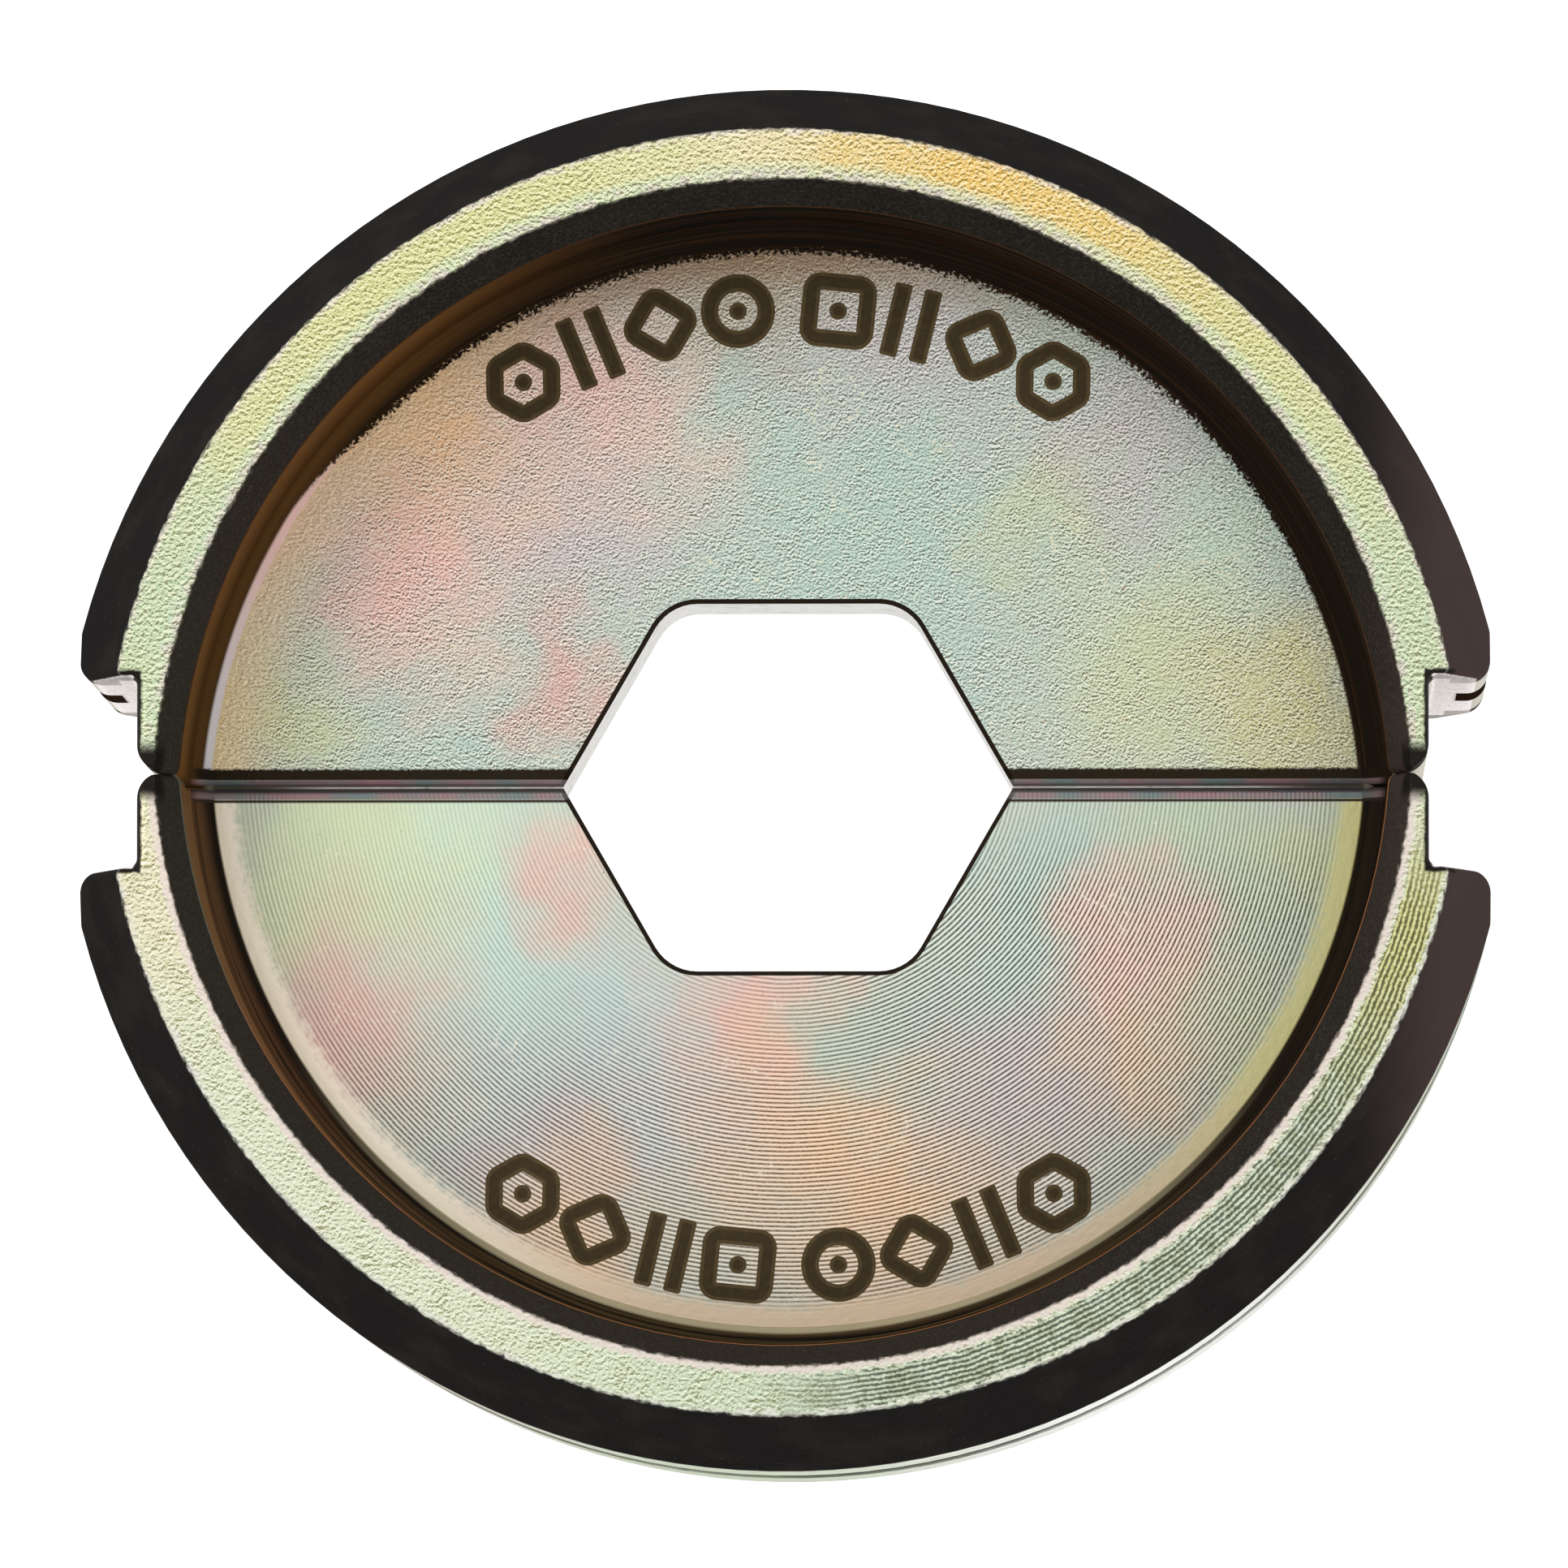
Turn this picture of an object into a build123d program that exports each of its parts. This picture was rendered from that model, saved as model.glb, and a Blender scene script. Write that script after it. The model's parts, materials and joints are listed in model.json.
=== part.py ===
"""A split crimping die: two alike half-round steel dies that close on a hexagonal cavity.

Millimetres. +Z is the cavity's axis, the halves meet on the plane Y = 0, and the origin is
on the cavity's axis at the face that the pair lies on.
"""

from build123d import *
import math
import os

# Ring of each half
ring_radius = 23.75
ring_wall = 4.05
ring_thickness = 22.0
arc_centre_offset = 1.15

# Tapers from the ring's flat faces to its outside and to the recess
outer_taper_width = 1.72
outer_taper_height = 4.3
inner_taper_width = 0.75
inner_taper_height = 2.1

# Web across the ring at mid thickness
web_thickness = 5.0
web_foot_taper = 0.8

# Stepped ends of the ring beside the parting plane
tip_width = 1.25
flange_gap = 3.1
side_flat_depth = 0.75
edge_rounding = 0.3
tip_corner_radius = 0.9
flange_corner_radius = 0.7

# Retaining groove round the outside
groove_width = 3.7
groove_depth = 1.38

# Hexagonal cavity of the closed pair
cavity_flats = 12.1
cavity_corners = 14.8
cavity_side_angle = 60.0
cavity_corner_radius = 1.6
cavity_edge_break = 0.15

# Places that follow from the sizes above
mid_height = ring_thickness / 2
wall_radius = ring_radius - ring_wall
notch_wall_x = wall_radius + tip_width
width_over_flats = 2 * (ring_radius - side_flat_depth)
web_bottom = mid_height - web_thickness / 2
web_top = mid_height + web_thickness / 2
turning_axis = Axis((0, -arc_centre_offset, 0), (0, 0, 1))
section_plane = Plane(origin=(0, -arc_centre_offset, mid_height), x_dir=(1, 0, 0), z_dir=(0, -1, 0))
cutter_margin = 1.0


def turned_section():
    """Radial section through web, recess wall and ring, mirrored about mid thickness."""
    half_web = web_thickness / 2
    with BuildSketch(section_plane) as section:
        with BuildLine():
            Polyline(
                (0, 0),
                (0, half_web),
                (wall_radius - web_foot_taper, half_web),
                (wall_radius, half_web + web_foot_taper),
                (wall_radius, mid_height - inner_taper_height),
                (wall_radius + inner_taper_width, mid_height),
                (ring_radius - outer_taper_width, mid_height),
                (ring_radius, mid_height - outer_taper_height),
                (ring_radius, 0),
                close=True,
            )
        make_face()
        mirror(about=Plane.XZ)
    return section.sketch


def end_profile():
    """Steps cut from both ends of the half ring, which leave its thin tips, and flats on its sides."""
    with BuildSketch(Plane.XY) as ends:
        with Locations((notch_wall_x, -cutter_margin)):
            Rectangle(ring_wall, flange_gap + cutter_margin, align=(Align.MIN, Align.MIN))
        with Locations((width_over_flats / 2, -cutter_margin)):
            Rectangle(ring_wall, ring_radius, align=(Align.MIN, Align.MIN))
        mirror(about=Plane.YZ)
    return ends.sketch


def corner_trim():
    """What the rounded corners of the tips and flanges lose, seen along the axis."""
    with BuildSketch(Plane.XY) as trim:
        for x, y, radius in (
            (notch_wall_x, 0, tip_corner_radius),
            (width_over_flats / 2, flange_gap, flange_corner_radius),
        ):
            with Locations((x - radius, y)):
                Rectangle(radius, radius, align=(Align.MIN, Align.MIN))
            with Locations((x - radius, y + radius)):
                Circle(radius, mode=Mode.SUBTRACT)
        mirror(about=Plane.YZ)
    return trim.sketch


def groove_section():
    """Section of the retaining groove, open to the outside."""
    with BuildSketch(section_plane) as groove:
        with Locations((ring_radius - groove_depth, 0)):
            Rectangle(groove_depth + cutter_margin, groove_width, align=(Align.MIN, Align.CENTER))
    return groove.sketch


def cavity_profile(height):
    """Hexagon with its corners on the parting plane left sharp."""
    half_flats = cavity_flats / 2
    half_corners = cavity_corners / 2
    flat_end = half_corners - half_flats / math.tan(math.radians(cavity_side_angle))
    with BuildSketch(Plane.XY.offset(height)) as cavity:
        with BuildLine():
            Polyline((half_corners, 0), (flat_end, half_flats), (-flat_end, half_flats), (-half_corners, 0))
            mirror(about=Plane.XZ)
        make_face()
        fillet(cavity.vertices().group_by(Axis.Y)[0] + cavity.vertices().group_by(Axis.Y)[-1], cavity_corner_radius)
    return cavity.sketch


def die_half():
    """One half, on the +Y side of the parting plane."""
    with BuildPart() as half:
        # Turned blank, cut off at the parting plane
        revolve(turned_section(), axis=turning_axis)
        split(bisect_by=Plane.XZ, keep=Keep.BOTTOM)
        # Stepped and flattened ends, with every edge that isn't a turned one rounded, then the corners
        extrude(end_profile(), amount=ring_thickness, mode=Mode.SUBTRACT)
        fillet(half.edges().filter_by(GeomType.CIRCLE, reverse=True), edge_rounding)
        extrude(corner_trim(), amount=ring_thickness, mode=Mode.SUBTRACT)
        # Retaining groove
        revolve(groove_section(), axis=turning_axis, mode=Mode.SUBTRACT)
        # Cavity, with its rim broken on both faces of the web
        extrude(cavity_profile(web_bottom), amount=web_thickness, mode=Mode.SUBTRACT)
        flare = cavity_edge_break + cutter_margin
        extrude(cavity_profile(web_top - cavity_edge_break), amount=flare, taper=-45, mode=Mode.SUBTRACT)
        extrude(cavity_profile(web_bottom + cavity_edge_break), amount=-flare, taper=-45, mode=Mode.SUBTRACT)
    return half.part


half_shape = die_half()

with BuildPart() as upper_die_half:
    add(half_shape)

with BuildPart() as lower_die_half:
    add(half_shape, rotation=(0, 0, 180))

os.makedirs("parts", exist_ok=True)
upper_die_half.part.label = "upper_die_half"
lower_die_half.part.label = "lower_die_half"
export_step(upper_die_half.part, "parts/upper_die_half.step")
export_step(lower_die_half.part, "parts/lower_die_half.step")
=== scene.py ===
"""Looks, floor, light and camera for the split crimping die. Metres, in the row frame."""

import json
import math

import bpy
from mathutils import Matrix, Vector

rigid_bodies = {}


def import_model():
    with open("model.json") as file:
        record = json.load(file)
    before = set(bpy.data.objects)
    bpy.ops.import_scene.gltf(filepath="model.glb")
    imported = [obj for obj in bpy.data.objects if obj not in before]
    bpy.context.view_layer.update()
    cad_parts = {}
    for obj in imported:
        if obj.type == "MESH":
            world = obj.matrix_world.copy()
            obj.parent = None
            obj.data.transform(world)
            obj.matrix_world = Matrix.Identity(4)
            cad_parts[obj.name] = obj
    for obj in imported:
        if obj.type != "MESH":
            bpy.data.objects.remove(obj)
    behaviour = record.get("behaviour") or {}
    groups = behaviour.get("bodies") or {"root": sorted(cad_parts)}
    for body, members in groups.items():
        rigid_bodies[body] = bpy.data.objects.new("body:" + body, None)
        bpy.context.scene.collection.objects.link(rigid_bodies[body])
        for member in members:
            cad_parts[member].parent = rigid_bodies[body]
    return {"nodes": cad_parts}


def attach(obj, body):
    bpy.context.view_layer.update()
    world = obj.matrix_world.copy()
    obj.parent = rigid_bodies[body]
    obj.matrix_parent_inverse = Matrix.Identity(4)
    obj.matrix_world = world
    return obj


MM = 0.001

# Sizes of the die, in millimetres, as in the part's source
ARC_CENTRE_OFFSET = 1.15
MID_HEIGHT = 11.0
HALF_THICKNESS = 11.0
HALF_WEB = 2.5
WALL_RADIUS = 19.7
FOOT_RADIUS = 18.9
RING_INNER_RADIUS = 20.45
RING_OUTER_RADIUS = 22.03
OUTER_RADIUS = 23.75
TAPER_LOW_HEIGHT = 6.7
INNER_TAPER_LOW_HEIGHT = 8.9
NOTCH_WALL_X = 20.95
FLANGE_GAP = 3.1
GROOVE_BOTTOM_RADIUS = 22.37
HALF_GROOVE = 1.85
SIDE_FLAT_START = (22.9, 22.96)

# Machining marks: pitch in millimetres, and the stretch of the lower ring with ridges in radians
GROOVE_PITCH = 0.145
RIDGE_PITCH = 0.17
RIDGES_FROM = 1.62
RIDGES_TO = 2.95

# Grain: scale of the pebbles, and the step in millimetres towards the light, for the painted shade and
# highlight on each pebble
WEB_GRAIN = 11.5
WEB_GRAIN_STEP = (0.01, -0.034, 0.0)
RING_GRAIN = 7.5
RING_GRAIN_STEP = (0.012, -0.045, 0.0)

# Heights of the relief, in millimetres
BLASTED_RELIEF = 0.02
GROOVE_RELIEF = 0.006
GENERAL_RELIEF = 0.01

# Radii in millimetres between which a feature of the web or the ring starts or ends
UPPER_LIT_RIM = (16.6, 18.9)
UPPER_SHADED_RIM = (17.2, 18.7)
GROOVES_END = (17.8, 18.6)
GROOVE_RELIEF_END = (17.6, 18.2)
LOWER_RIM = (18.25, 18.8)
LOWER_RIM_EDGE = (18.55, 18.8)
CAVITY_RIM_END = (16.0, 17.0)
BARE_FROM_CAVITY = (15.0, 18.0)
INNER_TAPER_END = (20.5, 20.7)
LOWER_FOOT_START = (18.88, 18.98)
LOWER_STRIP_END = 19.12
LOWER_FOOT_WARM_FROM = (19.05, 19.5)
UPPER_FOOT_START = 18.72
UPPER_FOOT_START_BY_STRIP = 19.22
UPPER_STRIP_SPAN = (19.03, 19.34)
UPPER_FOOT_FAR_FROM = (19.0, 19.5)

# Bearings in radians, round the half's own centre, between which a look starts
UPPER_LIT_SIDE = (1.75, 2.3)
UPPER_PAINTED_LIGHT_SIDE = (1.8, 2.3)
UPPER_STRIP_SIDE = (2.3, 2.6)
UPPER_FRINGE_SIDE = (0.25, 0.8)
COPPER_HIGHLIGHT_SIDE = (0.25, 0.6)

# Heights above mid thickness and places along X, in millimetres, between which a look starts
WALL_PAINTED_LIGHT_HEIGHT = (3.0, 8.6)
DARK_END_HEIGHT = (10.0, 10.4)
RED_END_X = (18.0, 22.0)

# Signs on the webs, in millimetres
GLYPH_RADIUS = 16.93
GLYPH_HEIGHT = 2.45
GLYPH_LIFT = 0.008
GLYPH_SINK = 0.01
STROKE = 0.58
STROKE_EDGE = 0.12
BAR_ROUNDING = 0.09
BAR_CORE_ROUNDING = 0.04

# Signs: points round a loop, material numbers, the row of faces that is the core, and scale of the grain
ROUND_STEPS = 48
EDGE_LOOK = 0
CORE_LOOK = 1
CORE_ROW = 2
INK_GRAIN = 4000.0

# Shader values of the plated surface and of the surfaces painted near-black as shade and dark reflection
PLATED_METALLIC = 0.75
DARK_METALLIC = 0.05
PLATED_ROUGHNESS = 0.45
DARK_ROUGHNESS = 0.38

# Floor, surroundings and lamps: name, place in metres, width in metres and power in watts
FLOOR_REACH = 3.0
FLOOR_GLOW = 0.9
FLOOR_GREY = (0.8, 0.8, 0.8, 1)
WHITE = (1, 1, 1, 1)
WORLD_LIGHT = 0.55
LAMPS = (
    ("key", (-0.45, 0.35, 0.75), 0.5, 2.4),
    ("fill", (0.5, -0.3, 0.7), 0.6, 1.2),
)
DIE_MIDDLE = (0, 0, 0.011)

# Camera: places in metres, lens in millimetres
CAMERA_PLACE = (0.0140, -0.0385, 0.6286)
CAMERA_TARGET = (0.00006, -0.00043, 0.022)
FOCAL_LENGTH = 430.7
SENSOR_WIDTH = 36.0
NEAREST_SEEN = 0.01
FARTHEST_SEEN = 10.0

# Colours on screen, 0 to 255. Tints of the plating:
MINT = (170, 198, 184)
PALE_MINT = (186, 210, 190)
BRIGHT_MINT = (200, 226, 206)
PALE_BLUE = (190, 208, 206)
PALE_GREEN = (184, 202, 172)
OLIVE = (192, 200, 156)
YELLOW = (200, 206, 158)
LEMON = (216, 224, 178)
GOLD = (206, 198, 130)
AMBER = (226, 188, 108)
CREAM = (222, 212, 178)
ORANGE = (236, 190, 144)
PINK = (230, 184, 172)
DEEP_PINK = (214, 160, 152)
LILAC = (194, 180, 182)
BROWN = (168, 140, 112)
PALE_STEEL = (242, 244, 238)

# Blasted web of the upper half, with painted shade and highlight on its grain and painted light and shade
# along its rim
UPPER_WEB_BASE = (184, 194, 182)
WEB_SAND = (214, 176, 132)
WEB_GRAIN_SHADE = (74, 66, 52)
WEB_GRAIN_LIGHT = (250, 247, 236)
WEB_SCRATCH = (228, 222, 192)
WEB_PIT = (74, 64, 56)
WEB_SMALL_PIT = (86, 78, 62)
UPPER_RIM_PAINTED_LIGHT = (255, 218, 168)
RIM_SHADE = (156, 116, 74)

# Turned web of the lower half, its grooves drawn as painted shade and highlight lines, with painted light
# along its rim
LOWER_WEB_BASE = (190, 196, 182)
GROOVE_SHADE = (62, 54, 46)
GROOVE_LIGHT = (252, 248, 240)
DARK_DUST = (80, 70, 58)
LIGHT_DUST = (248, 246, 240)
FAINT_SCRATCH = (240, 234, 214)
# Painted light along the rim of the lower web, near the foot
LOWER_RIM_PAINTED_LIGHT_CREAM = (255, 244, 224)
LOWER_RIM_PAINTED_LIGHT_SAND = (216, 192, 164)
LOWER_RIM_PAINTED_LIGHT_YELLOW = (212, 204, 142)
LOWER_RIM_PAINTED_LIGHT_PALE = (236, 226, 202)

# Edges of the webs at the parting plane and round the cavity: painted shade, with rose and teal lines on the
# parting edge
EDGE_ROSE = (146, 118, 120)
EDGE_TEAL = (114, 126, 124)
EDGE_SHADE_LINE = (60, 50, 44)
EDGE_GREY = (96, 92, 92)
EDGE_SHADE_BROWN = (42, 35, 26)
EDGE_SHADE_BLACK = (22, 19, 17)
CAVITY_RIM_SHADE = (56, 47, 38)

# Ring face of the upper half, with painted shade and highlight on its grain and painted highlights along its
# rounded edges
UPPER_RING_BASE = (204, 204, 146)
UPPER_RING_MINT = (190, 208, 180)
UPPER_INNER_EDGE_HIGHLIGHT = (196, 188, 180)
UPPER_OUTER_EDGE_HIGHLIGHT = (216, 206, 198)
UPPER_RING_SHADE = (92, 84, 40)
UPPER_RING_LIGHT = (252, 248, 216)
UPPER_RING_PIT = (104, 94, 48)

# Ring face of the lower half, with its ridges drawn as dark hollows of painted shade and tops of painted
# highlight
LOWER_RING_BASE = (208, 214, 186)
LOWER_RING_STAIN_AND_SHADE = (150, 142, 92)
LOWER_RING_SHADE = (108, 106, 76)
LOWER_RING_LIGHT = (250, 250, 236)
LOWER_INNER_EDGE_HIGHLIGHT = (222, 206, 200)
LOWER_OUTER_EDGE_HIGHLIGHT = (216, 214, 206)
RIDGES_PALE = (186, 198, 178)
RIDGES_DULL = (164, 172, 146)
RIDGES_OLIVE = (198, 194, 122)
RIDGE_FURROW_SHADE = (50, 56, 40)
RIDGE_CREST_HIGHLIGHT = (222, 228, 202)

# Wall of the recess and its foot: painted shade, painted light on one side, and pale painted highlights
WALL_BLACK = (31, 26, 22)
WALL_BROWN = (62, 43, 28)
LOWER_WALL_PAINTED_LIGHT_WARM = (146, 106, 70)
LOWER_WALL_PAINTED_LIGHT_OLIVE = (124, 104, 70)
UPPER_WALL_PAINTED_LIGHT_LOW = (84, 58, 30)
UPPER_WALL_PAINTED_LIGHT_HIGH = (128, 88, 46)
# Feet: painted shade, painted light on one side and pale painted highlight bands
LOWER_FOOT_DARK = (44, 34, 27)
LOWER_FOOT_WARM = (104, 74, 50)
LOWER_FOOT_OLIVE = (90, 74, 50)
LOWER_FOOT_LINES = (30, 25, 21)
LOWER_FOOT_HIGHLIGHT = (220, 210, 176)
UPPER_FOOT_NEAR = (40, 31, 21)
UPPER_FOOT_FAR = (92, 64, 34)
UPPER_FOOT_DARK = (36, 29, 23)
UPPER_FOOT_LINES = (70, 48, 28)
UPPER_FOOT_HIGHLIGHT_ROSE = (248, 212, 206)
UPPER_FOOT_HIGHLIGHT_WHITE = (230, 226, 232)

# Tapers, outside, groove, ends and the bare steel of the cavity; tapers, groove and ends are painted dark as
# shade, the cavity painted near-white as light
# Tapers: near-black with dark grey patches, painted as the dark reflection of the steep faces
TAPER_BLACK = (29, 27, 26)
TAPER_PATCH_DARK_GREY = (40, 36, 33)
TAPER_WARM = (60, 54, 46)
TAPER_GRAIN = (72, 67, 62)
TAPER_SPECK = (120, 112, 100)
TAPER_RIGHT_END = (98, 80, 76)
TAPER_EDGE_HIGHLIGHT_TEAL = (104, 128, 114)
TAPER_EDGE_HIGHLIGHT_COPPER = (196, 128, 78)
TAPER_EDGE_HIGHLIGHT_BROWN = (96, 60, 34)
OUTSIDE_BASE = (176, 178, 158)
TURNING_SHADE = (96, 90, 76)
TURNING_LIGHT = (226, 226, 214)
OUTSIDE_STAIN = (140, 124, 98)
RETAINING_GROOVE_SHADE = (52, 38, 27)
END_PAINTED_DARK = (36, 32, 29)
END_WHITE = (244, 238, 238)
END_PIT = (92, 80, 76)
END_ROSE = (214, 180, 180)
BARE_PAINTED_LIGHT_WHITE = (250, 249, 246)
BARE_GREY = (184, 180, 164)
BARE_STAIN = (206, 198, 182)
BARE_PIT = (120, 110, 100)

# Edge and core of the signs: dark and pale brown of each
MARK_EDGE = ((91, 75, 46), (104, 88, 58))
MARK_CORE = ((67, 54, 31), (78, 64, 40))

# Tints of each face in the half's own frame: x, y, reach, strength, colour
UPPER_WEB_TINTS = (
    (3.0, 8.8, 9.5, 0.9, MINT),
    (14.5, 8.0, 5.0, 0.8, PALE_MINT),
    (12.4, 3.4, 5.5, 0.75, YELLOW),
    (16.8, 2.2, 4.0, 0.75, GOLD),
    (8.5, 9.3, 2.8, 0.8, OLIVE),
    (10.8, 11.2, 3.6, 0.7, LILAC),
    (3.6, 15.0, 4.5, 0.7, LILAC),
    (-7.6, 8.2, 4.6, 0.8, LILAC),
    (-15.0, 4.2, 4.4, 0.8, PALE_MINT),
    (-17.2, 1.8, 3.2, 0.9, YELLOW),
    (-11.0, 2.8, 4.0, 0.8, MINT),
    (-12.8, 7.8, 5.2, 1.0, PINK),
    (-11.4, 12.4, 4.6, 1.0, ORANGE),
    (-6.0, 13.2, 4.6, 0.9, PINK),
    (-7.0, 3.2, 2.6, 0.8, DEEP_PINK),
    # Painted shade: brown on the web near the wall at the top
    (-1.0, 17.4, 4.4, 0.7, BROWN),
)
LOWER_WEB_TINTS = (
    (9.6, 5.2, 8.5, 0.95, BRIGHT_MINT),
    (6.4, 8.6, 5.8, 0.9, PALE_BLUE),
    (13.6, 1.6, 4.6, 0.7, LEMON),
    (16.6, 4.0, 3.6, 0.7, LEMON),
    (14.8, 7.6, 4.6, 0.9, PINK),
    (6.6, 3.0, 3.2, 0.8, PINK),
    (8.0, 12.0, 4.5, 0.8, LILAC),
    (7.0, 14.6, 3.4, 0.7, ORANGE),
    (0.8, 8.6, 4.6, 0.95, PINK),
    (-2.4, 12.8, 6.5, 0.9, ORANGE),
    (-8.6, 5.0, 6.0, 0.95, MINT),
    (-3.6, 8.4, 3.4, 0.8, MINT),
    (-8.0, 9.6, 4.4, 0.8, LILAC),
    (-14.4, 3.4, 5.0, 0.9, PALE_GREEN),
    (-11.4, 5.8, 3.6, 0.85, PINK),
    (-11.8, 9.0, 3.4, 0.6, ORANGE),
    (-16.4, 8.8, 3.2, 0.7, YELLOW),
    (-17.8, 2.2, 2.4, 0.8, YELLOW),
)
UPPER_RING_TINTS = (
    (6.5, 19.5, 9.5, 1.0, AMBER),
    (-1.0, 21.0, 5.0, 0.7, CREAM),
    (-20.2, 5.2, 8.5, 0.9, PALE_GREEN),
    (20.4, 5.2, 9.0, 0.9, PALE_GREEN),
)
LOWER_RING_TINTS = (
    (20.5, 3.0, 7.0, 0.8, CREAM),
    (0.0, 20.6, 9.0, 0.7, PALE_GREEN),
)
OUTSIDE_TINTS = (
    (0.0, 22.6, 9.0, 0.7, PALE_GREEN),
    (-12.0, 19.0, 11.0, 1.0, PALE_STEEL),
    (16.0, 16.0, 8.0, 0.6, LILAC),
    (-22.0, 5.0, 6.0, 0.6, MINT),
    (22.0, 5.0, 6.0, 0.6, PINK),
)
TINT_SOFTNESS = 1.25
TINT_WANDER = 7.0
WANDER_SCALE = 0.32
SECOND_WAVE_AT = 40.0
SCRATCHES_AT = (11.0, 5.0, 0.0)


def srgb(red, green, blue):
    """A colour given by its 0 to 255 values on screen, as the shader's linear colour."""
    linear = []
    for value in (red, green, blue):
        part = value / 255
        linear.append(part / 12.92 if part <= 0.04045 else ((part + 0.055) / 1.055) ** 2.4)
    return (*linear, 1.0)


class Nodes:
    """A material's node tree, built by short calls that each give an output socket."""

    def __init__(self, material):
        material.use_nodes = True
        self.tree = material.node_tree
        self.tree.nodes.clear()

    def put(self, kind, inputs, **settings):
        node = self.tree.nodes.new(kind)
        for key, value in settings.items():
            setattr(node, key, value)
        for key, value in inputs.items():
            if isinstance(value, bpy.types.NodeSocket):
                self.tree.links.new(value, node.inputs[key])
            else:
                node.inputs[key].default_value = value
        return node

    def calc(self, operation, a, b=0.0, c=0.0):
        return self.put("ShaderNodeMath", {0: a, 1: b, 2: c}, operation=operation).outputs[0]

    def rise(self, value, low, high):
        """0 below low and 1 above high, smooth between them."""
        inputs = {"Value": value, "From Min": low, "From Max": high}
        return self.put("ShaderNodeMapRange", inputs, interpolation_type="SMOOTHSTEP").outputs[0]

    def fall(self, value, low, high):
        """1 below low and 0 above high, smooth between them."""
        inputs = {"Value": value, "From Min": low, "From Max": high, "To Min": 1.0, "To Max": 0.0}
        return self.put("ShaderNodeMapRange", inputs, interpolation_type="SMOOTHSTEP").outputs[0]

    def band(self, value, low, high, soft):
        """1 between low and high, with soft edges."""
        above = self.rise(value, low - soft, low + soft)
        return self.times(above, self.fall(value, high - soft, high + soft))

    def times(self, first, *others):
        result = first
        for other in others:
            result = self.calc("MULTIPLY", result, other)
        return result

    def plus(self, first, *others):
        result = first
        for other in others:
            result = self.calc("ADD", result, other)
        return result

    def minus(self, a, b):
        return self.calc("SUBTRACT", a, b)

    def largest(self, first, *others):
        result = first
        for other in others:
            result = self.calc("MAXIMUM", result, other)
        return result

    def size(self, value):
        """The value without its sign."""
        return self.calc("ABSOLUTE", value)

    def sway(self, noise, width):
        """Noise spread over width, with its middle at 0."""
        return self.calc("MULTIPLY_ADD", noise, width, -width / 2)

    def wave(self, value, pitch, delay):
        """Wave from 0 to 1 that repeats with pitch, held back by delay in radians."""
        turns = self.calc("MULTIPLY_ADD", value, math.tau / pitch, delay)
        return self.calc("MULTIPLY_ADD", self.calc("SINE", turns), 0.5, 0.5)

    def mix(self, factor, a, b):
        inputs = {0: factor, 6: a, 7: b}
        return self.put("ShaderNodeMix", inputs, data_type="RGBA", clamp_factor=True).outputs[2]

    def blend(self, factor, a, b):
        """Number a where factor is 0 and b where it is 1."""
        inputs = {0: factor, 2: a, 3: b}
        return self.put("ShaderNodeMix", inputs, data_type="FLOAT", clamp_factor=True).outputs[0]

    def noise(self, vector, scale, detail=2.0, roughness=0.5):
        inputs = {"Vector": vector, "Scale": scale, "Detail": detail, "Roughness": roughness}
        return self.put("ShaderNodeTexNoise", inputs).outputs[0]

    def crack_distance(self, vector, scale):
        """Distance to the nearest border between random cells."""
        inputs = {"Vector": vector, "Scale": scale}
        return self.put("ShaderNodeTexVoronoi", inputs, feature="DISTANCE_TO_EDGE").outputs["Distance"]

    def join(self, x, y, z):
        return self.put("ShaderNodeCombineXYZ", {0: x, 1: y, 2: z}).outputs[0]

    def split(self, vector):
        return self.put("ShaderNodeSeparateXYZ", {0: vector}).outputs

    def shift(self, vector, offset):
        return self.put("ShaderNodeVectorMath", {0: vector, 1: offset}, operation="ADD").outputs[0]

    def stretch(self, vector, factors):
        return self.put("ShaderNodeVectorMath", {0: vector, 1: factors}, operation="MULTIPLY").outputs[0]

    def distance(self, vector, point):
        inputs = {0: vector, 1: point}
        return self.put("ShaderNodeVectorMath", inputs, operation="DISTANCE").outputs["Value"]


class Place:
    """Where a point of a half lies, in millimetres in the half's own frame, as node sockets."""

    def __init__(self, nodes, turned):
        sign = -1.0 if turned else 1.0
        raw = nodes.put("ShaderNodeTexCoord", {})
        self.point = nodes.stretch(raw.outputs["Object"], (sign / MM, sign / MM, 1 / MM))
        self.x, self.y, self.z = nodes.split(self.point)
        centred = nodes.plus(self.y, ARC_CENTRE_OFFSET)
        squares = nodes.plus(nodes.times(self.x, self.x), nodes.times(centred, centred))
        self.radius = nodes.calc("SQRT", squares)
        self.bearing = nodes.calc("ARCTAN2", centred, self.x)
        self.height = nodes.size(nodes.minus(self.z, MID_HEIGHT))
        self.across = nodes.size(self.x)
        self.to_right = nodes.times(self.x, sign)
        facing = nodes.split(raw.outputs["Normal"])
        self.facing_x = nodes.size(facing[0])
        self.facing_y = nodes.size(facing[1])
        self.facing_z = nodes.size(facing[2])
        # Noises that several features share, from coarse to fine
        self.cloud = nodes.noise(self.point, 0.5, 3.0)
        self.medium = nodes.noise(self.point, 1.6, 3.0)
        self.fine = nodes.noise(self.point, 3.4, 3.0, 0.6)
        self.dust = nodes.noise(self.point, 8.0, 2.0, 0.6)


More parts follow.
